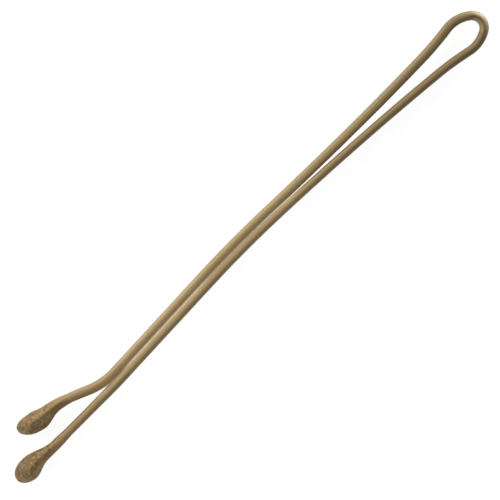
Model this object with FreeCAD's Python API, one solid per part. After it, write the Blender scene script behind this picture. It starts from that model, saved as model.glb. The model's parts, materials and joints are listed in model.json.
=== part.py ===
import FreeCAD, Part
import math
import os

# A two-legged sprung hair grip, bent from one length of flat wire with a resin bead on each end.
# X runs along the pin from the beads to the bow, Y from the straight leg to the flared leg, and Z
# across the wire. The pin lies on its side, and the origin is under the middle of its outline.
# Lengths are in millimetres and angles in degrees. Bend radii are those of the wire's centreline,
# except where a name says inside.

PIN_LENGTH = 50.8  # nose of the straight leg's bead to the outside of the bow

# Wire, rolled flat with full-round edges: thin in the plane of the pin, wide across it
WIRE_THICKNESS = 0.71
WIRE_WIDTH = 1.16
LEG_GAP = 0.03  # between the legs where they press together

# Free end of the straight leg, from its cut end inside the bead to the grip
FREE_END = 9.15

# Grip, where the legs lie side by side: a slight set beside the flare, a straight run and an arch
SET_ANGLE = 2.45
SET_RADIUS = 40.7
GRIP_RUN = 9.7
FLARE_LAG = 0.25  # the flare leaves this far past the start of the set
ARCH_ANGLE = 4.37
ARCH_RADIUS = 98.5

# Eye, where the legs part towards the bow: a long sweep, which takes up the rest of the pin's length,
# then a quicker shoulder
EYE_ANGLE = 10.0  # lean of each leg at the bow
SHOULDER_RADIUS = 27.0

# Bow: two cheeks and a tighter crown
CHEEK_INSIDE_RADIUS = 2.3
CHEEK_ANGLE = 34.0  # turn of each cheek past the pin's axis
CROWN_INSIDE_RADIUS = 0.6
CROWN_LEAN = 1.8  # the crown sits a little towards the straight leg

# Flare, which lifts the end of one leg so that hair slips in
FLARE_ANGLE = 24.3
FLARE_RADIUS = 5.7
FLARE_RUN = 1.4
RETURN_ANGLE = 13.3  # bends the end of the flare back towards the pin
RETURN_RADIUS = 5.65

# Resin beads, each a drop that runs up the wire to a thin lip
NECK_LENGTH = 2.25  # belly to lip
LIP_FILM = 0.04  # resin on the wire at the lip
NOSE_COVER = 0.6  # resin past the cut end of the wire
LIP_STANDOFF = 0.1  # bare wire between the flare's return bend and the lip
STRAIGHT_BELLY_RADIUS = 0.89
STRAIGHT_NOSE_LENGTH = 1.17
STRAIGHT_BEAD_TILT = 3.5  # the drop hangs a little towards the other leg
STRAIGHT_BEAD_SLANT = 0.25  # runs further up the leg on the side that faces the other leg
FLARED_BELLY_RADIUS = 0.85
FLARED_NOSE_LENGTH = 1.3
FLARED_BEAD_TILT = 0.0
FLARED_BEAD_SLANT = 0.45

ORIGIN = FreeCAD.Vector(0, 0, 0)
UP = FreeCAD.Vector(0, 0, 1)
HALF_FLAT = (WIRE_WIDTH - WIRE_THICKNESS) / 2  # half the width of the wire's flat sides
HALF_PITCH = (WIRE_THICKNESS + LEG_GAP) / 2  # from the grip line to each leg's centreline
CHEEK_RADIUS = CHEEK_INSIDE_RADIUS + WIRE_THICKNESS / 2
CROWN_RADIUS = CROWN_INSIDE_RADIUS + WIRE_THICKNESS / 2
STRAIGHT_DROP = (STRAIGHT_BELLY_RADIUS, STRAIGHT_NOSE_LENGTH, -STRAIGHT_BEAD_TILT, STRAIGHT_BEAD_SLANT)
FLARED_DROP = (FLARED_BELLY_RADIUS, FLARED_NOSE_LENGTH, FLARED_BEAD_TILT, -FLARED_BEAD_SLANT)


def direction(heading):
    angle = math.radians(heading)
    return FreeCAD.Vector(math.cos(angle), math.sin(angle), 0)


def wire_section(point, heading):
    """The wire's section, square to its heading: two flats joined by full-round edges."""
    side = direction(heading + 90) * (WIRE_THICKNESS / 2)
    edge = UP * (WIRE_THICKNESS / 2)
    top = point + UP * HALF_FLAT
    bottom = point - UP * HALF_FLAT
    return Part.Face(Part.Wire([
        Part.LineSegment(bottom + side, top + side).toShape(),
        Part.Arc(top + side, top + edge, top - side).toShape(),
        Part.LineSegment(top - side, bottom - side).toShape(),
        Part.Arc(bottom - side, bottom - edge, bottom + side).toShape(),
    ]))


def arc_step(radius, heading, turn):
    """The way from the start of a bend to its end. A positive turn is to the left."""
    side = math.copysign(90.0, turn)
    return (direction(heading + side) - direction(heading + turn + side)) * radius


class Bender:
    """Feeds the flat wire out in straight runs and tangent bends. A positive turn is to the left."""

    def __init__(self, point, heading):
        self.point = point
        self.heading = heading
        self.runs = []

    def straight(self, length):
        step = direction(self.heading) * length
        self.runs.append(wire_section(self.point, self.heading).extrude(step))
        self.point = self.point + step

    def bend(self, radius, turn):
        """Returns the centre of the bend."""
        centre = self.point + direction(self.heading + math.copysign(90.0, turn)) * radius
        self.runs.append(wire_section(self.point, self.heading).revolve(centre, UP, turn))
        self.point = self.point + arc_step(radius, self.heading, turn)
        self.heading += turn
        return centre

    def cut(self):
        """Returns the wire fed out since the last cut, as one solid."""
        wire = self.runs[0].multiFuse(self.runs[1:]).Solids[0]
        self.runs = []
        return wire


def crown_shift():
    """How much further the straight leg reaches than the flared leg, because the crown leans."""
    low = math.sin(math.radians(CHEEK_ANGLE - CROWN_LEAN))
    high = math.sin(math.radians(CHEEK_ANGLE + CROWN_LEAN))
    return (CHEEK_RADIUS - CROWN_RADIUS) * (high - low)


def drop_outline(belly_radius, nose_length):
    """Half outline of a bead, from its lip at x = 0 to its nose on the X axis."""
    lip_radius = WIRE_THICKNESS / 2 + LIP_FILM
    rise = belly_radius - lip_radius
    turn = 2 * math.atan(rise / NECK_LENGTH)
    radius = NECK_LENGTH / math.sin(turn) / 2
    lip = FreeCAD.Vector(0, lip_radius, 0)
    middle = FreeCAD.Vector(NECK_LENGTH / 2, lip_radius + rise / 2, 0)
    belly = FreeCAD.Vector(NECK_LENGTH, belly_radius, 0)
    sag = FreeCAD.Vector(radius * math.sin(turn / 2), radius * (1 - math.cos(turn / 2)), 0)
    nose = FreeCAD.Vector(NECK_LENGTH + nose_length, 0, 0)
    cap = Part.BezierCurve()
    cap.setPoles([belly, FreeCAD.Vector(nose.x, belly_radius, 0), nose])
    cap.setWeight(2, math.sqrt(0.5))
    return [
        Part.Arc(lip, lip + sag, middle).toShape(),
        Part.Arc(middle, belly - sag, belly).toShape(),
        cap.toShape(),
    ]


def drop(belly_radius, nose_length):
    """A bead before it is set on the wire: a turned drop, parted along its middle by the wire's flat."""
    outline = drop_outline(belly_radius, nose_length)
    lip = outline[0].Vertexes[0].Point
    nose = outline[-1].Vertexes[-1].Point
    base = [Part.LineSegment(nose, ORIGIN).toShape(), Part.LineSegment(ORIGIN, lip).toShape()]
    half = Part.Face(Part.Wire(outline + base))
    axis = FreeCAD.Vector(1, 0, 0)
    upper = half.revolve(ORIGIN, axis, 180).translated(UP * HALF_FLAT)
    lower = half.revolve(ORIGIN, axis, -180).translated(UP * -HALF_FLAT)
    slab = half.fuse(half.mirror(ORIGIN, FreeCAD.Vector(0, 1, 0))).removeSplitter()
    slab = slab.translated(UP * -HALF_FLAT).extrude(UP * (2 * HALF_FLAT))
    return upper.fuse([lower, slab]).removeSplitter().Solids[0]


def grip_depth(nose_length):
    """Length of the wire inside a bead."""
    return NECK_LENGTH + nose_length - NOSE_COVER


def nose_reach(belly_radius, nose_length, tilt, slant):
    """How far a tilted and slanted bead reaches past the end of its wire, along the wire."""
    along = math.cos(math.radians(tilt))
    across = math.sin(math.radians(tilt))
    nose = math.hypot(nose_length * along, belly_radius * (slant * along - across))
    return NECK_LENGTH * along + nose - grip_depth(nose_length)


def eye_bends():
    """Radius and turn of the sweep and turn of the shoulder that join the grip to the bow in the length left."""
    axis = SET_ANGLE - ARCH_ANGLE
    grip = arc_step(SET_RADIUS + HALF_PITCH, 0.0, SET_ANGLE)
    grip += direction(SET_ANGLE) * GRIP_RUN
    grip += arc_step(ARCH_RADIUS - HALF_PITCH, SET_ANGLE, -ARCH_ANGLE)
    cheek_turn = CHEEK_ANGLE - CROWN_LEAN
    bow = arc_step(CHEEK_RADIUS, axis - EYE_ANGLE, EYE_ANGLE + cheek_turn)
    bow += direction(axis + cheek_turn + 90) * CROWN_RADIUS
    outside = CROWN_RADIUS + WIRE_THICKNESS / 2

    # How far each leg leaves the grip line, from the grip to its cheek of the bow
    lean = math.radians(EYE_ANGLE)
    past = math.cos(math.radians(CHEEK_ANGLE)) * math.cos(math.radians(CROWN_LEAN))
    half_width = CHEEK_RADIUS - (CHEEK_RADIUS - CROWN_RADIUS) * past
    rise = half_width - CHEEK_RADIUS * (1 - math.cos(lean)) - HALF_PITCH

    free_end = FREE_END + nose_reach(*STRAIGHT_DROP)
    taken = free_end + grip.x + rise * math.sin(math.radians(axis)) + bow.x + outside
    length = (PIN_LENGTH - taken) / math.cos(math.radians(axis)) - crown_shift()
    sweep_run = length - SHOULDER_RADIUS * math.sin(lean)
    sweep_rise = rise - SHOULDER_RADIUS * (1 - math.cos(lean))
    turn = 2 * math.atan(sweep_rise / sweep_run)
    radius = SHOULDER_RADIUS + sweep_run / math.sin(turn)
    return radius, math.degrees(turn), EYE_ANGLE - math.degrees(turn)


def bead(belly_radius, nose_length, tilt, slant, wire_end, heading, leg):
    """Sets a drop over the end of a leg, with a socket that the wire fills."""
    lip = wire_end - direction(heading) * grip_depth(nose_length)
    lean = FreeCAD.Matrix()
    lean.A12 = slant
    solid = drop(belly_radius, nose_length).transformGeometry(lean)
    solid.rotate(ORIGIN, UP, heading + tilt)
    return solid.translated(lip).cut(leg).Solids[0]


def build():
    """Returns the solids by name and the centre of the bow's crown, in the pin's own frame."""
    sweep_radius, sweep, shoulder = eye_bends()

    pen = Bender(ORIGIN, 0.0)
    pen.straight(FREE_END)
    pen.bend(SET_RADIUS + HALF_PITCH, SET_ANGLE)
    pen.straight(GRIP_RUN)
    pen.bend(ARCH_RADIUS - HALF_PITCH, -ARCH_ANGLE)
    pen.straight(crown_shift())
    pen.bend(sweep_radius, -sweep)
    pen.bend(SHOULDER_RADIUS, -shoulder)
    straight_leg = pen.cut()

    pen.bend(CHEEK_RADIUS, EYE_ANGLE + CHEEK_ANGLE - CROWN_LEAN)
    crown_centre = pen.bend(CROWN_RADIUS, 180 - 2 * CHEEK_ANGLE)
    pen.bend(CHEEK_RADIUS, EYE_ANGLE + CHEEK_ANGLE + CROWN_LEAN)
    bow_spring = pen.cut()

    pen.bend(SHOULDER_RADIUS, -shoulder)
    pen.bend(sweep_radius, -sweep)
    pen.bend(ARCH_RADIUS + HALF_PITCH, ARCH_ANGLE)
    pen.straight(GRIP_RUN + FLARE_LAG)
    pen.bend(FLARE_RADIUS, -FLARE_ANGLE)
    pen.straight(FLARE_RUN)
    pen.bend(RETURN_RADIUS, RETURN_ANGLE)
    pen.straight(LIP_STANDOFF + grip_depth(FLARED_NOSE_LENGTH))
    flared_leg = pen.cut()

    solids = {
        "straight_leg": straight_leg,
        "bow_spring": bow_spring,
        "flared_leg": flared_leg,
        "straight_tip_bead": bead(*STRAIGHT_DROP, ORIGIN, 180.0, straight_leg),
        "flared_tip_bead": bead(*FLARED_DROP, pen.point, pen.heading, flared_leg),
    }
    box = Part.makeCompound(list(solids.values())).optimalBoundingBox(False)
    shift = FreeCAD.Vector(-box.Center.x, -box.Center.y, -box.ZMin)
    return {name: solid.translated(shift) for name, solid in solids.items()}, crown_centre + shift


def main():
    solids, crown_centre = build()
    os.makedirs("parts", exist_ok=True)
    for name, solid in solids.items():
        solid.exportStep(f"parts/{name}.step")
        print(f"{name}: {solid.ShapeType}, valid {solid.isValid()}, {solid.Volume:.4f} mm3")
    print("crown centre", crown_centre)


main()
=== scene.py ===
import json
import math

import bpy
import numpy as np
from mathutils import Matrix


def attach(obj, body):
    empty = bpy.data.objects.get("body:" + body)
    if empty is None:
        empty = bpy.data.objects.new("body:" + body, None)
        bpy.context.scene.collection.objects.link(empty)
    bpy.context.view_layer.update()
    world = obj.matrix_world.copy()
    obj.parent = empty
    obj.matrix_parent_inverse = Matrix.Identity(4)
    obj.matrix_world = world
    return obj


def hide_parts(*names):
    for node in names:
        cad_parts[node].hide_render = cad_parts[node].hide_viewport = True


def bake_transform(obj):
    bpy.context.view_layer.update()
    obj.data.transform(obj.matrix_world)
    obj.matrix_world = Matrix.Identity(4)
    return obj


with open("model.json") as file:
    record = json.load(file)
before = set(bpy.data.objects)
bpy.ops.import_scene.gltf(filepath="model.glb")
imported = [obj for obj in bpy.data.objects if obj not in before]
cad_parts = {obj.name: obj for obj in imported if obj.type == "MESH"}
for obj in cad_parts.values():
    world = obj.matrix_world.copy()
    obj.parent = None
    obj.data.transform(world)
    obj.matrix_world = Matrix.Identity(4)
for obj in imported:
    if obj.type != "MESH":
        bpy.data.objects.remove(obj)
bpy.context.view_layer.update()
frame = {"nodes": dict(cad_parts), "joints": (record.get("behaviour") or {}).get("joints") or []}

mm = 0.001
hinge = frame["joints"][0]
crownCentre = np.array(hinge["pos_m"]) / mm  # centre of the bow's crown, on the wire's mid-plane
print("frame loaded:", sorted(frame["nodes"]))


# The wire's line, in mm and degrees, fed out from the straight tip round the bow to the flared tip
wireLine = {
    "freeEnd": 9.15,          # straight tip to the start of the set
    "setRadius": 41.07,
    "setTurn": 2.45,
    "gripRun": 9.7,           # the legs lie side by side here
    "flareLag": 0.25,         # the flared leg's run is longer by this
    "archRadius": 98.5,
    "archTurn": 4.37,
    "halfPitch": 0.37,        # half the way from one leg's middle to the other's
    "sweepRadius": 278.9254,
    "sweepTurn": 3.33172,
    "shoulderRadius": 27.0,
    "shoulderTurn": 6.66828,
    "cheekRadius": 2.655,
    "cheekTurn": 44.0,
    "crownRadius": 0.955,
    "crownTurn": 112.0,
    "crownLean": 1.8,
    "flareRadius": 5.7,
    "flareTurn": 24.3,
    "flareRun": 1.4,
    "returnRadius": 5.65,
    "returnTurn": 13.3,
    "beadRun": 3.05,
}


# One step of the line is its length and its curvature, plus to the left. A run's curvature is nought,
# and a bend's is one over its radius
def run(length):
    return (length, 0.0)


def bend(radius, turn):
    return (radius * abs(math.radians(turn)), math.copysign(1 / radius, turn))


# Steps of the straight leg, the bow and the flared leg, in that order. The crown leans because one cheek
# turns more than the other, and a short run on the straight leg makes up for it
def lineSteps(line):
    cheekEnd = 90 - line["crownTurn"] / 2
    highSine = math.sin(math.radians(cheekEnd + line["crownLean"]))
    lowSine = math.sin(math.radians(cheekEnd - line["crownLean"]))
    leanRun = (line["cheekRadius"] - line["crownRadius"]) * (highSine - lowSine)
    straight = [
        run(line["freeEnd"]),
        bend(line["setRadius"], line["setTurn"]),
        run(line["gripRun"]),
        bend(line["archRadius"] - line["halfPitch"], -line["archTurn"]),
        run(leanRun),
        bend(line["sweepRadius"], -line["sweepTurn"]),
        bend(line["shoulderRadius"], -line["shoulderTurn"]),
    ]
    bow = [
        bend(line["cheekRadius"], line["cheekTurn"] - line["crownLean"]),
        bend(line["crownRadius"], line["crownTurn"]),
        bend(line["cheekRadius"], line["cheekTurn"] + line["crownLean"]),
    ]
    flared = [
        bend(line["shoulderRadius"], -line["shoulderTurn"]),
        bend(line["sweepRadius"], -line["sweepTurn"]),
        bend(line["archRadius"] + line["halfPitch"], line["archTurn"]),
        run(line["gripRun"] + line["flareLag"]),
        bend(line["flareRadius"], -line["flareTurn"]),
        run(line["flareRun"]),
        bend(line["returnRadius"], line["returnTurn"]),
        run(line["beadRun"]),
    ]
    return straight, bow, flared


# A step of length l and curvature k spans a chord of l * sin(k l / 2) / (k l / 2), which points half the
# step's turn past its starting heading
def chord(length, curvature, heading):
    reach = length * np.sinc(curvature * length / (2 * math.pi))
    middle = heading + curvature * length / 2
    return np.stack([reach * np.cos(middle), reach * np.sin(middle)], axis=-1)


# Distance, heading and point at the start of every step, with the line's end last
straightSteps, bowSteps, flaredSteps = lineSteps(wireLine)
stepLength, stepCurve = np.array(straightSteps + bowSteps + flaredSteps).T
stepStart = np.concatenate([[0.0], np.cumsum(stepLength)])
stepHeading = np.concatenate([[0.0], np.cumsum(stepLength * stepCurve)])
stepPoint = np.cumsum(chord(stepLength, stepCurve, stepHeading[:-1]), axis=0)
stepPoint = np.concatenate([[[0.0, 0.0]], stepPoint])

# The crown's centre lies its radius to the left of where the crown starts, and the hinge says where that is
crownStep = len(straightSteps) + 1
crownSide = stepHeading[crownStep] + math.pi / 2
toCentre = wireLine["crownRadius"] * np.array([math.cos(crownSide), math.sin(crownSide)])
stepPoint = stepPoint + (crownCentre[:2] - (stepPoint[crownStep] + toCentre))

bowFrom = stepStart[len(straightSteps)]
bowTo = stepStart[len(straightSteps) + len(bowSteps)]
lineEnd = stepStart[-1]
crownMiddle = (stepStart[crownStep] + stepStart[crownStep + 1]) / 2
print("wire line: %.2f mm, bow from %.2f to %.2f" % (lineEnd, bowFrom, bowTo))


# Point and heading at each distance along the line, from the chord of the step that holds it
def lineAt(distance):
    step = np.clip(np.searchsorted(stepStart, distance, side="right") - 1, 0, len(stepLength) - 1)
    into = distance - stepStart[step]
    point = stepPoint[step] + chord(into, stepCurve[step], stepHeading[step])
    return point, stepHeading[step] + stepCurve[step] * into


# S-shaped rise from 0 at low to 1 at high, or a fall where low is the larger
def smoothStep(low, high, value):
    share = np.clip((value - low) / (high - low), 0, 1)
    return share * share * (3 - 2 * share)


# S-shaped rise between the first two places, and an S-shaped fall between the last two
def window(places, value):
    return smoothStep(*places[:2], value) * (1 - smoothStep(*places[2:], value))


# Bell of height 1 round its middle, and 1 / e at its spread
def bell(middle, spread, value):
    return np.exp(-((value - middle) / spread) ** 2)


# Value from a table of (place, value) pairs, on straight lines between them and level past its ends
def fromTable(table, place):
    places, values = np.array(table).T
    return np.interp(place, places, values)


# Sum of slow waves over two grid directions, between about -1 and 1, the same on every run: each is a sine
# along the first times a cosine of whole turns along the second
waveMix = {"rates": (0.4, 1.6), "weights": (0.5, 1.0)}


def gentleWaves(seed, first, second, firstRate, secondTurns, count=6):
    rng = np.random.default_rng(seed)
    rate = firstRate * rng.uniform(*waveMix["rates"], count)
    turns = rng.integers(0, secondTurns + 1, count)
    phase = rng.uniform(0, 2 * math.pi, (2, count))
    weight = rng.uniform(*waveMix["weights"], count)
    waves = np.sin(first[..., None] * rate + phase[0]) * np.cos(second[..., None] * turns + phase[1])
    return (waves * weight).sum(-1) / weight.sum()


# Angles round a section: two half turns, one for each round edge. Their ends have the same angles, and the
# flats lie between them
def sectionAngles(edgePoints):
    halfTurn = np.linspace(0, math.pi, edgePoints)
    return np.concatenate([halfTurn, halfTurn + math.pi])


# A section carried along the line: each ring stands square to the heading, across is to its left, up is +Z
def carry(point, heading, across, up):
    left = np.stack([-np.sin(heading), np.cos(heading)], axis=-1)
    points = np.empty(across.shape + (3,))
    points[..., :2] = point[:, None, :] + across[..., None] * left[:, None, :]
    points[..., 2] = crownCentre[2] + up
    return points


# Mesh from a grid of rings: quads between neighbouring rings, a face over the last ring, and a face or a
# pole over the first. A pole is one point at that ring's middle. Rings under end faces keep a crisp edge
def ringMesh(name, points, pole=False):
    rings, around = points.shape[:2]
    index = np.arange(rings * around).reshape(rings, around)
    beside = np.roll(index, -1, axis=1)
    quads = np.stack([index[:-1], beside[:-1], beside[1:], index[1:]], axis=-1).reshape(-1, 4)
    vertices = points.reshape(-1, 3)
    faces = quads.tolist()
    if pole:
        vertices = np.concatenate([vertices, points[0].mean(axis=0)[None]])
        tip = np.full(around, rings * around)
        faces += np.stack([tip, beside[0], index[0]], axis=-1).tolist()
    else:
        faces.append(index[0][::-1].tolist())
    faces.append(index[-1].tolist())
    mesh = bpy.data.meshes.new(name)
    mesh.from_pydata((vertices * mm).tolist(), [], faces)
    mesh.polygons.foreach_set("use_smooth", np.ones(len(faces), bool))
    ends = np.zeros(len(mesh.edges) * 2, np.int32)
    mesh.edges.foreach_get("vertices", ends)
    ends = ends.reshape(-1, 2)
    crisp = (ends >= (rings - 1) * around).all(1) & (ends < rings * around).all(1)
    if not pole:
        crisp |= (ends < around).all(1)
    mesh.edges.foreach_set("use_edge_sharp", crisp)
    mesh.update()
    mesh.validate()
    piece = bpy.data.objects.new(name, mesh)
    bpy.context.scene.collection.objects.link(piece)
    return piece


# A grid of numbers or vectors, one for each vertex, that the materials read by name. The pole, where there
# is one, repeats the first
def paintPoints(piece, name, grid):
    isVector = grid.ndim == 3
    values = grid.reshape(-1, 3 if isVector else 1)
    short = len(piece.data.vertices) - len(values)
    values = np.concatenate([values, values[:short]])
    layer = piece.data.attributes.new(name, "FLOAT_VECTOR" if isVector else "FLOAT", "POINT")
    layer.data.foreach_set("vector" if isVector else "value", values.astype(np.float32).ravel())


# Flat wire, in mm: two flats joined by full-round edges, with a thin uneven coat of lacquer. Over the
# grip, lacquer has filled the groove between the legs and left a lip on each. Facing is -1 on the outside
# flat, 0 on top of a round edge and 1 on the inside flat
flatWire = {
    "thickness": 0.71,
    "width": 1.16,
    "ringStep": 0.09,
    "bowRingStep": 0.045,
    "edgePoints": 32,         # points round each edge
    "coat": 0.004,
    "coatWaves": (1.1, 3),    # rate along, most turns round
    "seed": 11,
    "grip": (-19.0, -14.8, 3.0, 9.0),  # places along X between which the lip comes and goes
    "lip": 0.74,              # how much of the round edge's height the lip fills
    "lipPower": 8,
    # What the outside gains, by distance from the crown's middle, minus on the straight leg's side: the
    # coat is thin on the straight leg and thick on the flared one
    "build": (
        (-46.0, 0.0), (-43.0, -0.014), (-5.0, -0.014), (-2.5, 0.0), (1.0, 0.0), (3.0, 0.055),
        (18.0, 0.055), (23.0, 0.045), (40.5, 0.04), (42.5, 0.05), (43.5, 0.06), (44.5, 0.045), (46.0, 0.0),
    ),
    "buildFacing": (0.0, -1.0),
    # What the inside gains, by place along X: most where the flare starts, a hair over the grip, and less
    # than nothing towards the bow, where a gap opens
    "fit": (
        (-18.0, 0.0), (-15.6, 0.042), (-15.4, 0.05), (-15.2, 0.0475), (-15.0, 0.0385), (-14.8, 0.028),
        (-14.6, 0.0202), (-14.4, 0.0157), (-14.2, 0.014), (-13.2, 0.014), (-12.4, 0.006), (-5.5, 0.006),
        (-3.5, 0.012), (1.0, 0.012), (3.0, 0.002), (5.0, -0.002), (7.5, -0.016), (12.0, -0.016),
        (15.0, 0.0),
    ),
    "fitFacing": (0.3, 1.0),
}
flatEnd = (flatWire["width"] - flatWire["thickness"]) / 2

# Painted light, painted shade and tone on the lacquer. Unless it says X, a place is in mm along the wire
# from the crown's middle, minus on the straight leg's side
wireLightAndTone = {
    "bendMiddle": 0.1,        # painted highlight on the bend, round here,
    "bendReach": 1.0,         # this far to each side,
    "bendFacing": (0.15, -0.45),  # on the outside
    "bendHighlight": 0.38,
    "gripLight": (                  # how much painted highlight the grip gets, by place along X
        (-13.9, 0.0), (-12.8, 1.0), (-5.5, 1.0), (-3.8, 0.58), (1.5, 0.58), (3.5, 0.6), (6.0, 0.45),
        (9.0, 0.0),
    ),
    "lightAround": 0.1,         # share of it that goes all round the wire,
    "lipFacing": (0.62, 0.95),  # the rest is on the lip,
    "flatFacing": 0.999,
    "flatShare": 0.35,        # less on the flat behind it
    "flaredShare": 0.55,      # and less on the flared leg
    "sideHighlight": (               # how much painted highlight the sides that face +Y get
        (-42.2, 0.0), (-41.4, 0.2), (-39.6, 0.2), (-38.2, 0.0), (2.0, 0.0), (6.0, 0.1), (18.0, 0.09),
        (21.0, 0.15), (38.0, 0.15), (44.0, 0.11), (46.0, 0.0),
    ),
    "highlightFacing": (-0.1, 0.5),
    "neckShade": ((-44.5, 0.38), (-43.0, 0.22), (-42.2, 0.0)),  # and how much painted shade beside the straight bead
    "neckFacing": (0.3, 0.8),
    "darkening": (                 # how much darker the coat is painted all round the wire
        (-21.0, 0.0), (-12.0, 0.35), (-5.0, 0.55), (-1.4, 0.55), (-0.6, 0.0), (0.4, 0.0), (0.9, 0.35),
        (2.5, 0.35), (4.0, 0.22), (8.0, 0.12), (13.0, 0.0),
    ),
    "line": (                 # how dark the painted shade line along the wire is,
        (-42.0, 0.0), (-38.0, 0.2), (-19.0, 0.2), (-8.0, 0.1), (-4.5, 0.15), (-2.0, 0.45), (-0.9, 0.8),
        (0.0, 1.0), (0.6, 0.9), (1.2, 0.15), (2.5, 0.2), (3.5, 0.45), (7.0, 0.4), (10.0, 0.25), (14.0, 0.0),
    ),
    "lineOff": (              # and how far it lies off the wire's middle
        (-3.0, -0.10), (-1.2, -0.09), (-0.5, 0.0), (0.0, 0.06), (0.7, 0.12), (2.0, 0.10), (4.0, 0.04),
    ),
    "lineSpread": 0.14,
    "edgeShade": 0.16,         # a little painted shade towards both flats
    "edgeFacing": (0.45, 0.85),
    "oliveReach": (30.0, 12.0),  # the coat turns olive between these distances from the crown
}


# Marks as values from 0 to 1 on the wire's own grid. Upward is facing turned so that 1 faces +Y on both
# legs. The painted highlight is a bell round the crown on the outside, plus a share by place along X over
# the grip, most of it on the lip, plus more on the sides that face +Y. The painted shade is a darker
# stretch, plus a bell-shaped dark line that wanders across the wire, plus a rise towards both flats, plus
# shade beside the straight bead. Olive comes in by an S-shaped rise towards the crown
def paintLightShadeAndTone(piece, along, facing, gripPlace):
    marks = wireLightAndTone
    fromCrown = along - crownMiddle
    upward = -facing * np.sign(fromCrown)
    bent = bell(marks["bendMiddle"], marks["bendReach"], fromCrown)
    bendLit = marks["bendHighlight"] * bent * smoothStep(*marks["bendFacing"], facing)
    # painted highlight over the grip, most of it on the lip
    gripLit = fromTable(marks["gripLight"], gripPlace)
    onLip = smoothStep(*marks["lipFacing"], facing)
    onLip = onLip * np.where(facing > marks["flatFacing"], marks["flatShare"], 1.0)
    onLip = onLip * np.where(fromCrown > 0, marks["flaredShare"], 1.0)
    gripHighlight = gripLit * (marks["lightAround"] + (1 - marks["lightAround"]) * onLip)
    # painted highlight on the sides that face the +Y light
    sideLit = fromTable(marks["sideHighlight"], fromCrown) * smoothStep(*marks["highlightFacing"], upward)
    # painted highlight: outside of the crown, the grip's lip, and the sides that face +Y
    paintPoints(piece, "paintedHighlight", np.clip(bendLit + gripHighlight + sideLit, 0, 1))
    across = facing * flatWire["thickness"] / 2
    lineOff = fromTable(marks["lineOff"], fromCrown)
    # painted shade: a dark line that follows the shaded flank across the crown
    line = fromTable(marks["line"], fromCrown) * bell(lineOff, marks["lineSpread"], across)
    # painted shade towards both flats, less where the grip is lit
    edge = marks["edgeShade"] * smoothStep(*marks["edgeFacing"], np.abs(facing)) * (1 - gripLit)
    # painted shade on the +Y side beside the straight bead
    neck = fromTable(marks["neckShade"], fromCrown) * smoothStep(*marks["neckFacing"], upward)
    darkening = fromTable(marks["darkening"], fromCrown)
    # painted shade: the dark line, both flats, the straight bead's neck, and the darker stretch
    paintPoints(piece, "paintedShade", np.clip(darkening + line + edge + neck, 0, 1))
    paintPoints(piece, "nearBow", smoothStep(*marks["oliveReach"], np.abs(fromCrown)))


# The wire's section carried along the line. A point is across by half thickness * cos(a), and up by the
# flat's end + half thickness * sin(a). Inside the grip the sine has a floor, the lip, which it meets
# smoothly as the p-th root of the sum of p-th powers. The half thickness takes in the coat, the fit and
# the build
def wirePiece(name, start, end, ringStep):
    wire = flatWire
    count = int(math.ceil((end - start) / ringStep)) + 1
    distance = np.linspace(start, end, count)
    point, heading = lineAt(distance)
    gripPlace = point[:, :1]
    along, angle = np.meshgrid(distance, sectionAngles(wire["edgePoints"]), indexing="ij")
    facing = np.cos(angle)
    power = wire["lipPower"]
    lip = wire["lip"] * window(wire["grip"], gripPlace) * (facing > 0)
    height = ((np.abs(np.sin(angle)) ** power + lip ** power) / (1 + lip ** power)) ** (1 / power)
    inside = smoothStep(*wire["fitFacing"], facing)
    outside = smoothStep(*wire["buildFacing"], facing)
    coat = wire["coat"] * (gentleWaves(wire["seed"], along, angle, *wire["coatWaves"]) - 1)
    fit = fromTable(wire["fit"], gripPlace)
    build = fromTable(wire["build"], along - crownMiddle)
    half = wire["thickness"] / 2 + coat * (1 - inside) + fit * inside + build * outside
    across = half * facing
    up = np.repeat([1, -1], wire["edgePoints"]) * (flatEnd + half * height)
    piece = ringMesh(name, carry(point, heading, across, up))
    paintPoints(piece, "unbent", np.stack([along, across, up], axis=-1))
    paintLightShadeAndTone(piece, along, facing, gripPlace)
    return piece


straightLeg = wirePiece("straightLeg", 0.0, bowFrom, flatWire["ringStep"])
bowSpring = wirePiece("bowSpring", bowFrom, bowTo, flatWire["bowRingStep"])
flaredLeg = wirePiece("flaredLeg", bowTo, lineEnd, flatWire["ringStep"])
print("wire pieces made")


# Drops of resin on the two tips, in mm. Distances run from the nose up the leg, and the upper side faces
# +Y. A neck gives where the belly starts to thin and where only the film is left
straightBead = {
    "noseReach": 0.625,       # how far the nose stands past the end of the wire
    "upper": {"belly": 1.03, "nose": 1.34, "neck": (1.45, 4.0), "film": 0.04},
    "lower": {"belly": 0.81, "nose": 1.45, "neck": (1.1, 2.75), "film": 0.06},
    "noseLift": 0.1,
    "depth": 0.92,            # height of a ring's round edge as a share of its half thickness
    "crest": 0.07,            # how high the crest over the wire stands
    "crestHighlight": 0.35,        # how much painted highlight it gets
    "rimReflection": 1.0,               # how much painted reflection the lower rim gets
    "shadeTo": (1.9, 3.2),    # the painted shade beside the crest fades out between these distances
    "upperShade": 0.75,       # how much painted shade the upper rim gets,
    "upperTo": (5.0, 6.5),    # which fades out between these
    "rust": 0.25,             # how red the streak on the upper side is
    "thinRun": (3.1, 5.1),    # the resin thins to a film between these distances
    "lipEnd": 5.8,
    "lipWave": 0.3,
    "lumps": 0.016,
    "seed": 5,
}
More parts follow.
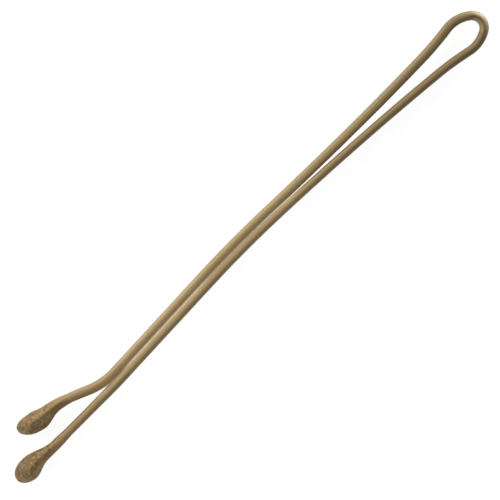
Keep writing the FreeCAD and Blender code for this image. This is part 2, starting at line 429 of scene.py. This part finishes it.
# The flared bead's upper side has a shoulder behind its belly, which drops by a share of it
flaredBead = {
    "noseReach": 0.645,
    "upper": {
        "belly": 0.815, "nose": 1.1, "neck": (2.6, 5.0), "film": 0.06,
        "shoulder": (1.55, 2.6), "drop": 0.24,
    },
    "lower": {"belly": 0.875, "nose": 2.3, "neck": (1.78, 3.6), "film": 0.045},
    "noseLift": 0.2,
    "depth": 0.915,
    "crest": 0.09,
    "crestHighlight": 0.75,
    "rimReflection": 0.2,
    "shadeTo": (6.0, 7.0),
    "upperShade": 0.3,
    "upperTo": (2.6, 4.2),
    "rust": 0.9,
    "thinRun": (2.4, 4.3),
    "lipEnd": 5.5,
    "lipWave": 0.3,
    "lumps": 0.016,
    "seed": 9,
}
beadSkin = {
    "rings": 130,
    "firstRing": 0.02,        # rings stand at the squares of even shares from this one to 1
    "edgePoints": 40,
    "lipRun": 1.6,            # the film thins out over this length and ends just inside the wire's coat
    "lipSunk": 0.015,
    "lipWaves": (0.0, 3),     # rate along, most turns round
    "lumpWaves": (5.0, 4, 10),  # the same, and how many waves
    "lumpRun": (0.0, 0.6, 2.2, 4.0),
    "crestLine": (0.17, 0.19),  # the buried wire shows as a soft crest: its middle and spread across
    "crestRun": (0.9, 2.2, 3.6, 4.8),
    "shadeLine": (-0.07, 0.14),  # painted shade lies beside the crest
    "rustLine": (0.42, 0.13),
    "rustRun": (0.2, 0.7, 2.0, 2.8),
    "rimFrom": (-0.3, -0.55),  # rims are given as shares of the side they lie on
    "rimRun": (0.1, 0.6),
    "upperFrom": (0.4, 0.8),
}


# Share of the nose that is still to come, from 1 at its tip to 0 at its reach
def noseShare(reach, distance):
    return np.clip(1 - distance / reach, 0, 1)


# Quarter ellipse that rises from 0 at the nose's tip to 1 at its reach
def noseRise(reach, distance):
    return np.sqrt(1 - noseShare(reach, distance) ** 2)


# One side of a drop by distance from the nose: a quarter ellipse up to the belly, an S-shaped shoulder
# where it has one, then an S-shaped neck down to the film, which thins away towards the lip
def dropSide(side, distance, lipEnd):
    body = side["belly"] * noseRise(side["nose"], distance)
    if "shoulder" in side:
        body = body * (1 - side["drop"] * smoothStep(*side["shoulder"], distance))
    filmed = flatWire["thickness"] / 2 + side["film"]
    radius = body + (filmed - body) * smoothStep(*side["neck"], distance)
    thinned = smoothStep(lipEnd - beadSkin["lipRun"], lipEnd, distance)
    return radius - (side["film"] + beadSkin["lipSunk"]) * thinned


# A drop is a stack of flattened rings, carried along the wire's line from past its end to the lip. A ring's
# half thickness is the mean of its two sides, its middle stands off the line by half their difference, and
# its flat fades out towards the nose. A bell-shaped crest stands over the buried wire. The far tip is walked
# backwards. Marks are bells across the drop and S-shaped rises and falls along it
def beadPiece(name, bead, farTip):
    skin = beadSkin
    share = np.linspace(skin["firstRing"], 1, skin["rings"])
    distance = (bead["lipEnd"] + bead["lipWave"]) * share ** 2
    if farTip:
        point, heading = lineAt(lineEnd + bead["noseReach"] - distance)
        heading = heading + math.pi
    else:
        point, heading = lineAt(distance - bead["noseReach"])
    along, angle = np.meshgrid(distance, sectionAngles(skin["edgePoints"]), indexing="ij")
    lip = bead["lipEnd"] + bead["lipWave"] * gentleWaves(bead["seed"], along, angle, *skin["lipWaves"])
    upper = dropSide(bead["upper"], along, lip)
    lower = dropSide(bead["lower"], along, lip)
    nose = bead["upper"]["nose"]
    middle = (upper - lower) / 2 + bead["noseLift"] * noseShare(nose, along) ** 2
    lumps = window(skin["lumpRun"], along) * gentleWaves(bead["seed"] + 1, along, angle, *skin["lumpWaves"])
    half = (upper + lower) / 2 + bead["lumps"] * lumps
    across = middle + half * np.cos(angle)
    crest = window(skin["crestRun"], along) * bell(*skin["crestLine"], across)
    upright = np.sin(angle)
    flat = flatEnd * noseRise(nose, along) * np.repeat([1, -1], skin["edgePoints"])
    up = flat + half * bead["depth"] * upright + bead["crest"] * crest * np.sign(upright)
    piece = ringMesh(name, carry(point, heading, across, up), pole=True)
    rimReflection = smoothStep(*skin["rimFrom"], across / lower) * smoothStep(*skin["rimRun"], along)
    upperRim = smoothStep(*skin["upperFrom"], across / upper) * (1 - smoothStep(*bead["upperTo"], along))
    rust = window(skin["rustRun"], along) * bell(*skin["rustLine"], across)
    beadShade = window(skin["crestRun"][:2] + bead["shadeTo"], along) * bell(*skin["shadeLine"], across)
    paintPoints(piece, "unbent", np.stack([along, across, up], axis=-1))
    paintPoints(piece, "thinFilm", smoothStep(*bead["thinRun"], along))
    # painted highlight along the crest, plus painted reflection on the lower rim
    paintPoints(piece, "crest", np.clip(bead["crestHighlight"] * crest + bead["rimReflection"] * rimReflection, 0, 1))
    paintPoints(piece, "rustLine", bead["rust"] * rust)
    # painted shade beside the crest and on the upper rim
    paintPoints(piece, "beadShade", np.clip(beadShade + bead["upperShade"] * upperRim, 0, 1))
    return piece


straightTip = beadPiece("straightTipBead", straightBead, False)
flaredTip = beadPiece("flaredTipBead", flaredBead, True)
print("bead pieces made")


# A node of one kind, with a dictionary of socket values or settings
def putNode(tree, kind, values=None):
    node = tree.nodes.new(kind)
    for key, value in (values or {}).items():
        if key in node.inputs:
            node.inputs[key].default_value = value
        else:
            setattr(node, key, value)
    return node


# An empty group with named number inputs and one output
def newGroup(name, inputs, output):
    group = bpy.data.node_groups.new(name, "ShaderNodeTree")
    for socketName, value in inputs.items():
        socket = group.interface.new_socket(name=socketName, in_out="INPUT", socket_type="NodeSocketFloat")
        socket.default_value = value
    group.interface.new_socket(name=output, in_out="OUTPUT", socket_type="NodeSocketFloat")
    return group, putNode(group, "NodeGroupInput"), putNode(group, "NodeGroupOutput")


# Soft clouds: noise on the piece's own coordinates, stretched to a mask from 0 to 1
def makeClouds():
    group, given, put = newGroup("softClouds", {"Scale": 800.0, "Low": 0.35, "High": 0.65}, "Mask")
    place = putNode(group, "ShaderNodeTexCoord")
    noise = putNode(group, "ShaderNodeTexNoise", {"Detail": 3.0, "Roughness": 0.55})
    spread = putNode(group, "ShaderNodeMapRange", {"interpolation_type": "SMOOTHSTEP"})
    group.links.new(place.outputs["Object"], noise.inputs["Vector"])
    group.links.new(given.outputs["Scale"], noise.inputs["Scale"])
    group.links.new(noise.outputs["Fac"], spread.inputs["Value"])
    group.links.new(given.outputs["Low"], spread.inputs["From Min"])
    group.links.new(given.outputs["High"], spread.inputs["From Max"])
    group.links.new(spread.outputs["Result"], put.inputs["Mask"])
    return group


# Flecks: spots round the middles of cells, kept only where the cell's own random value is high enough
def makeFlecks():
    group, given, put = newGroup("fineFlecks", {"Scale": 5000.0, "Spot": 0.35, "Keep": 0.7}, "Mask")
    place = putNode(group, "ShaderNodeTexCoord")
    cells = putNode(group, "ShaderNodeTexVoronoi")
    spot = putNode(group, "ShaderNodeMapRange", {"To Min": 1.0, "To Max": 0.0, "From Min": 0.05})
    pick = putNode(group, "ShaderNodeSeparateColor")
    kept = putNode(group, "ShaderNodeMath", {"operation": "GREATER_THAN"})
    both = putNode(group, "ShaderNodeMath", {"operation": "MULTIPLY"})
    group.links.new(place.outputs["Object"], cells.inputs["Vector"])
    group.links.new(given.outputs["Scale"], cells.inputs["Scale"])
    group.links.new(cells.outputs["Distance"], spot.inputs["Value"])
    group.links.new(given.outputs["Spot"], spot.inputs["From Max"])
    group.links.new(cells.outputs["Color"], pick.inputs["Color"])
    group.links.new(pick.outputs["Red"], kept.inputs[0])
    group.links.new(given.outputs["Keep"], kept.inputs[1])
    group.links.new(spot.outputs["Result"], both.inputs[0])
    group.links.new(kept.outputs["Value"], both.inputs[1])
    group.links.new(both.outputs["Value"], put.inputs["Mask"])
    return group


# Orange peel: a coarse noise, plus a share of one that is finer by a set ratio, as one height
def makePeel():
    group, given, put = newGroup("orangePeel", {"Scale": 3500.0, "Fine": 0.4, "Ratio": 3.7}, "Height")
    place = putNode(group, "ShaderNodeTexCoord")
    coarse = putNode(group, "ShaderNodeTexNoise", {"Detail": 2.0})
    finer = putNode(group, "ShaderNodeMath", {"operation": "MULTIPLY"})
    fine = putNode(group, "ShaderNodeTexNoise", {"Detail": 2.0})
    total = putNode(group, "ShaderNodeMath", {"operation": "MULTIPLY_ADD"})
    group.links.new(place.outputs["Object"], coarse.inputs["Vector"])
    group.links.new(place.outputs["Object"], fine.inputs["Vector"])
    group.links.new(given.outputs["Scale"], coarse.inputs["Scale"])
    group.links.new(given.outputs["Scale"], finer.inputs[0])
    group.links.new(given.outputs["Ratio"], finer.inputs[1])
    group.links.new(finer.outputs["Value"], fine.inputs["Scale"])
    group.links.new(fine.outputs["Fac"], total.inputs[0])
    group.links.new(given.outputs["Fine"], total.inputs[1])
    group.links.new(coarse.outputs["Fac"], total.inputs[2])
    group.links.new(total.outputs["Value"], put.inputs["Height"])
    return group


clouds = makeClouds()
flecks = makeFlecks()
peel = makePeel()


# The output of a group that is placed with its own values
def placeGroup(tree, group, values):
    return putNode(tree, "ShaderNodeGroup", {"node_tree": group, **values}).outputs[0]


# Mix of two colours by a mask. Either side may be a plain colour or a socket
def mixColour(tree, mask, first, second):
    mix = putNode(tree, "ShaderNodeMix", {"data_type": "RGBA"})
    tree.links.new(mask, mix.inputs["Factor"])
    for socket, side in ((mix.inputs[6], first), (mix.inputs[7], second)):  # the node's colour sockets
        if isinstance(side, bpy.types.NodeSocket):
            tree.links.new(side, socket)
        else:
            socket.default_value = (*side, 1.0)
    return mix.outputs[2]


# A value from 0 to 1 spread from low to high
def scaled(tree, value, low, high):
    spread = putNode(tree, "ShaderNodeMapRange", {"To Min": low, "To Max": high})
    tree.links.new(value, spread.inputs["Value"])
    return spread.outputs["Result"]


# Colours laid over a ground one after the other, each by its own mask, spread from low to high
def layered(tree, tone, layers):
    for mask, (low, high), colour in layers:
        tone = mixColour(tree, scaled(tree, mask, low, high), tone, colour)
    return tone


# Noise on the unbent wire's own coordinates, drawn out along it
def stretchedNoise(tree, stretch):
    place = putNode(tree, "ShaderNodeAttribute", {"attribute_name": "unbent"})
    mapping = putNode(tree, "ShaderNodeMapping", {"Scale": stretch})
    noise = putNode(tree, "ShaderNodeTexNoise", {"Scale": 1.0, "Detail": 4.0, "Roughness": 0.6})
    tree.links.new(place.outputs["Vector"], mapping.inputs["Vector"])
    tree.links.new(mapping.outputs["Vector"], noise.inputs["Vector"])
    return noise.outputs["Fac"]


# A mark that was painted on the piece's points
def painted(tree, name):
    return putNode(tree, "ShaderNodeAttribute", {"attribute_name": name}).outputs["Fac"]


# A bump by a height, with its depth in metres, over the bump under it if there is one
def bumped(tree, height, depth, under=None):
    bump = putNode(tree, "ShaderNodeBump", {"Distance": depth})
    tree.links.new(height, bump.inputs["Height"])
    if under is not None:
        tree.links.new(under, bump.inputs["Normal"])
    return bump.outputs["Normal"]


# A material whose shader has its constants set
def newMaterial(name, constants):
    material = bpy.data.materials.new(name)
    material.use_nodes = True
    tree = material.node_tree
    shader = tree.nodes["Principled BSDF"]
    for key, value in constants.items():
        shader.inputs[key].default_value = value
    return material, tree, shader


# Blonde bronze lacquer on the wire, greener towards the bow, with painted shade and painted highlights over
# it. Near the crown the painted shade is darkest along a line, and a painted highlight lies on the outside
# of the bend. Painted highlights also lie along the grip
lacquer = {
    "bronze": (0.285, 0.178, 0.064),
    "olive": (0.258, 0.182, 0.066),
    "pale": (0.335, 0.242, 0.122),
    # colour of the painted highlight
    "paintedHighlight": (0.760, 0.600, 0.370),
    # colour of the painted shade
    "paintedShade": (0.085, 0.055, 0.019),
    "clouds": {"Scale": 700.0},
    "flecks": {"Scale": 9000.0, "Spot": 0.4, "Keep": 0.8},
    "drawnStretch": (0.35, 9.0, 9.0),
    "cloudMix": (0.0, 0.7),   # how far each mask mixes its colour in
    "bowMix": (0.0, 0.6),
    "drawnMix": (-0.25, 0.55),
    "fleckMix": (0.0, 0.25),
    "highlightMix": (0.0, 0.8),
    "shadeMix": (0.0, 0.8),
    "haze": {"Scale": 2600.0, "Low": 0.4, "High": 0.7},  # where the coat is rougher
    "roughness": (0.44, 0.6),
    "peel": {"Scale": 4200.0, "Fine": 0.35},
    "peelDepth": 0.0000015,
    "drawnDepth": 0.000003,
    "shader": {"Metallic": 0.1, "Coat Weight": 0.3, "Coat Roughness": 0.5, "Specular IOR Level": 0.45},
}


def makeLacquer():
    finish = lacquer
    material, tree, shader = newMaterial("bronzeLacquer", finish["shader"])
    drawn = stretchedNoise(tree, finish["drawnStretch"])
    tone = layered(tree, finish["bronze"], (
        (placeGroup(tree, clouds, finish["clouds"]), finish["cloudMix"], finish["olive"]),
        (painted(tree, "nearBow"), finish["bowMix"], finish["olive"]),
        (drawn, finish["drawnMix"], finish["pale"]),
        (placeGroup(tree, flecks, finish["flecks"]), finish["fleckMix"], finish["pale"]),
        # painted highlight laid over the coat
        (painted(tree, "paintedHighlight"), finish["highlightMix"], finish["paintedHighlight"]),
        # painted shade laid over the coat
        (painted(tree, "paintedShade"), finish["shadeMix"], finish["paintedShade"]),
    ))
    haze = placeGroup(tree, clouds, finish["haze"])
    drawnBump = bumped(tree, drawn, finish["drawnDepth"])
    skin = placeGroup(tree, peel, finish["peel"])
    tree.links.new(tone, shader.inputs["Base Color"])
    tree.links.new(scaled(tree, haze, *finish["roughness"]), shader.inputs["Roughness"])
    tree.links.new(bumped(tree, skin, finish["peelDepth"], drawnBump), shader.inputs["Normal"])
    return material


# Matte grainy resin on the tips, streaked along the leg, with a painted highlight along its crest, a painted
# reflection on its lower rim and painted shade beside the crest and on its upper rim. Towards its lip it
# thins to a film and takes on the look of the lacquer under it
resin = {
    "umber": (0.108, 0.068, 0.020),
    "tan": (0.290, 0.198, 0.072),
    "olive": (0.190, 0.148, 0.044),
    "rust": (0.235, 0.124, 0.044),
    # colour of the painted highlight and reflection
    "crest": (0.345, 0.240, 0.108),
    "redder": (0.300, 0.140, 0.050),
    "fleck": (0.420, 0.325, 0.160),
    # colour of the painted shade
    "beadShade": (0.120, 0.066, 0.022),
    "clouds": {"Scale": 3000.0, "Low": 0.43, "High": 0.62},
    "greenClouds": {"Scale": 1300.0, "Low": 0.45, "High": 0.62},
    "streakStretch": (0.55, 3.2, 3.2),
    "paleFlecks": {"Scale": 4200.0, "Spot": 0.55, "Keep": 0.68},
    "darkFlecks": {"Scale": 3600.0, "Spot": 0.6, "Keep": 0.64},
    "greenMix": (0.0, 0.5),   # how far each mask mixes its colour in
    "streakMix": (-1.0, 1.7),
    "crestLightMix": (0.0, 0.7),
    "rustMix": (0.0, 0.8),
    "paleMix": (0.0, 0.6),
    "darkMix": (0.0, 0.7),
    "beadShadeMix": (0.0, 0.5),
    "haze": {"Scale": 5200.0, "Low": 0.38, "High": 0.62},
    "roughness": (0.5, 0.7),
    "grain": {"Scale": 3800.0, "Fine": 0.6},
    "grainDepth": 0.00003,
    "filmGrain": 0.15,        # the film keeps this share of the grain
    "shader": {"Coat Roughness": 0.5, "Specular IOR Level": 0.45},
}


def makeResin():
    finish = resin
    material, tree, shader = newMaterial("tipResin", finish["shader"])
    film = painted(tree, "thinFilm")
    body = mixColour(tree, placeGroup(tree, clouds, finish["clouds"]), finish["umber"], finish["tan"])
    body = layered(tree, body, (
        (placeGroup(tree, clouds, finish["greenClouds"]), finish["greenMix"], finish["olive"]),
        (stretchedNoise(tree, finish["streakStretch"]), finish["streakMix"], finish["rust"]),
        # painted highlight along the crest and painted reflection on the lower rim
        (painted(tree, "crest"), finish["crestLightMix"], finish["crest"]),
        (painted(tree, "rustLine"), finish["rustMix"], finish["redder"]),
        (placeGroup(tree, flecks, finish["paleFlecks"]), finish["paleMix"], finish["fleck"]),
        (placeGroup(tree, flecks, finish["darkFlecks"]), finish["darkMix"], finish["umber"]),
    ))
    ground = layered(tree, lacquer["bronze"], (
        (placeGroup(tree, clouds, lacquer["clouds"]), lacquer["cloudMix"], lacquer["olive"]),
        (stretchedNoise(tree, lacquer["drawnStretch"]), lacquer["drawnMix"], lacquer["pale"]),
    ))
    tone = mixColour(tree, film, body, ground)
    # painted shade beside the crest and on the upper rim
    tone = mixColour(tree, scaled(tree, painted(tree, "beadShade"), *finish["beadShadeMix"]), tone, finish["beadShade"])
    haze = placeGroup(tree, clouds, finish["haze"])
    grain = putNode(tree, "ShaderNodeMath", {"operation": "MULTIPLY"})
    tree.links.new(placeGroup(tree, peel, finish["grain"]), grain.inputs[0])
    tree.links.new(scaled(tree, film, 1.0, finish["filmGrain"]), grain.inputs[1])
    tree.links.new(tone, shader.inputs["Base Color"])
    tree.links.new(scaled(tree, haze, *finish["roughness"]), shader.inputs["Roughness"])
    for socketName in ("Metallic", "Coat Weight"):
        tree.links.new(scaled(tree, film, 0.0, lacquer["shader"][socketName]), shader.inputs[socketName])
    tree.links.new(bumped(tree, grain.outputs["Value"], finish["grainDepth"]), shader.inputs["Normal"])
    return material


lacquerFinish = makeLacquer()
resinFinish = makeResin()
for piece, finish, slotName in (
    (straightLeg, lacquerFinish, "lacquered_wire"),
    (bowSpring, lacquerFinish, "lacquered_wire"),
    (flaredLeg, lacquerFinish, "lacquered_wire"),
    (straightTip, resinFinish, "tip_resin"),
    (flaredTip, resinFinish, "tip_resin"),
):
    piece.data.materials.append(finish)
print("finishes made")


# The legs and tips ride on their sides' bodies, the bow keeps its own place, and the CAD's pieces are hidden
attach(straightLeg, "straight_side")
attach(straightTip, "straight_side")
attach(flaredLeg, "flared_side")
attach(flaredTip, "flared_side")
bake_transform(bowSpring)
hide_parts("straight_leg")
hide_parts("bow_spring")
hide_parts("flared_leg")
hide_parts("straight_tip_bead")
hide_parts("flared_tip_bead")
print("pieces set on their bodies")


# Floor: pale and matt, in metres, with a white added for what the camera and reflections see
floorSheet = {"halfSide": 1.5, "matt": 0.16, "white": 0.925}


def makeFloor():
    half = floorSheet["halfSide"]
    corners = [(-half, -half, 0), (half, -half, 0), (half, half, 0), (-half, half, 0)]
    mesh = bpy.data.meshes.new("floorSheet")
    mesh.from_pydata(corners, [], [(0, 1, 2, 3)])
    floor = bpy.data.objects.new("floorSheet", mesh)
    bpy.context.scene.collection.objects.link(floor)
    material = bpy.data.materials.new("paleSheet")
    material.use_nodes = True
    tree = material.node_tree
    tree.nodes.remove(tree.nodes["Principled BSDF"])
    matt = putNode(tree, "ShaderNodeBsdfDiffuse", {"Color": (floorSheet["matt"],) * 3 + (1,)})
    glow = putNode(tree, "ShaderNodeEmission")
    rays = putNode(tree, "ShaderNodeLightPath")
    seen = putNode(tree, "ShaderNodeMath", {"operation": "MAXIMUM"})
    seenAll = putNode(tree, "ShaderNodeMath", {"operation": "MAXIMUM"})
    level = putNode(tree, "ShaderNodeMath", {"operation": "MULTIPLY"})
    level.inputs[1].default_value = floorSheet["white"]
    both = putNode(tree, "ShaderNodeAddShader")
    tree.links.new(rays.outputs["Is Camera Ray"], seen.inputs[0])
    tree.links.new(rays.outputs["Is Glossy Ray"], seen.inputs[1])
    tree.links.new(seen.outputs["Value"], seenAll.inputs[0])
    tree.links.new(rays.outputs["Is Transmission Ray"], seenAll.inputs[1])
    tree.links.new(seenAll.outputs["Value"], level.inputs[0])
    tree.links.new(level.outputs["Value"], glow.inputs["Strength"])
    tree.links.new(matt.outputs["BSDF"], both.inputs[0])
    tree.links.new(glow.outputs["Emission"], both.inputs[1])
    tree.links.new(both.outputs["Shader"], tree.nodes["Material Output"].inputs["Surface"])
    mesh.materials.append(material)


makeFloor()


# Light: a dim soft room, brighter on one side, and low lamps round the sheet, so that flanks shine and what
# faces up stays darker. Lamps are in metres and watts, and azimuth turns from +X to +Y
room = {
    "towards": (0.0, 0.95, 0.31),
    "spread": (-0.6, 0.8),
    "level": (0.25, 0.42),
    "tint": (1.0, 0.99, 0.97),
}
lampDistance = 0.4
lamps = {
    "upperSide": {"azimuth": 108.0, "elevation": 27.0, "width": 0.5, "height": 0.18, "power": 1.3},
    "bowSide": {"azimuth": 18.0, "elevation": 14.0, "width": 0.25, "height": 0.12, "power": 1.7},
    "tipSide": {"azimuth": 200.0, "elevation": 16.0, "width": 0.25, "height": 0.12, "power": 0.5},
}


# The room's level rises by an S-shaped curve of the cosine between a direction and its bright side
def makeRoom():
    world = bpy.data.worlds.new("softRoom")
    bpy.context.scene.world = world
    world.use_nodes = True
    tree = world.node_tree
    sky = tree.nodes["Background"]
    sky.inputs["Color"].default_value = (*room["tint"], 1.0)
    place = putNode(tree, "ShaderNodeTexCoord")
    dot = putNode(tree, "ShaderNodeVectorMath", {"operation": "DOT_PRODUCT"})
    dot.inputs[1].default_value = room["towards"]
    level = putNode(tree, "ShaderNodeMapRange", {
        "interpolation_type": "SMOOTHSTEP",
        "From Min": room["spread"][0],
        "From Max": room["spread"][1],
        "To Min": room["level"][0],
        "To Max": room["level"][1],
    })
    tree.links.new(place.outputs["Generated"], dot.inputs[0])
    tree.links.new(dot.outputs["Value"], level.inputs["Value"])
    tree.links.new(level.outputs["Result"], sky.inputs["Strength"])


# A lamp stands on a sphere round the pin and faces its middle
def makeLamp(name, lamp):
    data = bpy.data.lights.new(name, "AREA")
    data.shape = "RECTANGLE"
    data.size = lamp["height"]
    data.size_y = lamp["width"]
    data.energy = lamp["power"]
    lampObject = bpy.data.objects.new(name, data)
    azimuth = math.radians(lamp["azimuth"])
    elevation = math.radians(lamp["elevation"])
    flat = lampDistance * math.cos(elevation)
    lampObject.location = (
        flat * math.cos(azimuth),
        flat * math.sin(azimuth),
        lampDistance * math.sin(elevation),
    )
    lampObject.rotation_euler = (0, math.pi / 2 - elevation, azimuth)
    bpy.context.scene.collection.objects.link(lampObject)


makeRoom()
for lampName, lamp in lamps.items():
    makeLamp(lampName, lamp)


# Camera: straight above the pin, turned so that the pin runs from the lower left to the upper right. Sizes
# and places are in mm, and the clip distances in metres
camera = {
    "lens": 200.0,
    "sensor": 36.0,
    "frameSide": 38.59,       # what the picture takes in at the wire's mid-plane
    "middle": (-0.134, -0.878),
    "turn": -44.873,
    "clip": (0.001, 10.0),
}


# Its height over the mid-plane is to the frame's side as the lens is to the sensor
def makeCamera():
    data = bpy.data.cameras.new("camera")
    data.lens = camera["lens"]
    data.sensor_width = camera["sensor"]
    data.clip_start, data.clip_end = camera["clip"]
    height = crownCentre[2] + camera["frameSide"] * camera["lens"] / camera["sensor"]
    cameraObject = bpy.data.objects.new("camera", data)
    cameraObject.location = (camera["middle"][0] * mm, camera["middle"][1] * mm, height * mm)
    cameraObject.rotation_euler = (0, 0, math.radians(camera["turn"]))
    bpy.context.scene.collection.objects.link(cameraObject)
    bpy.context.scene.camera = cameraObject


makeCamera()
bpy.context.scene.view_settings.view_transform = "Standard"
print("stage, light and camera set")

bpy.context.view_layer.update()
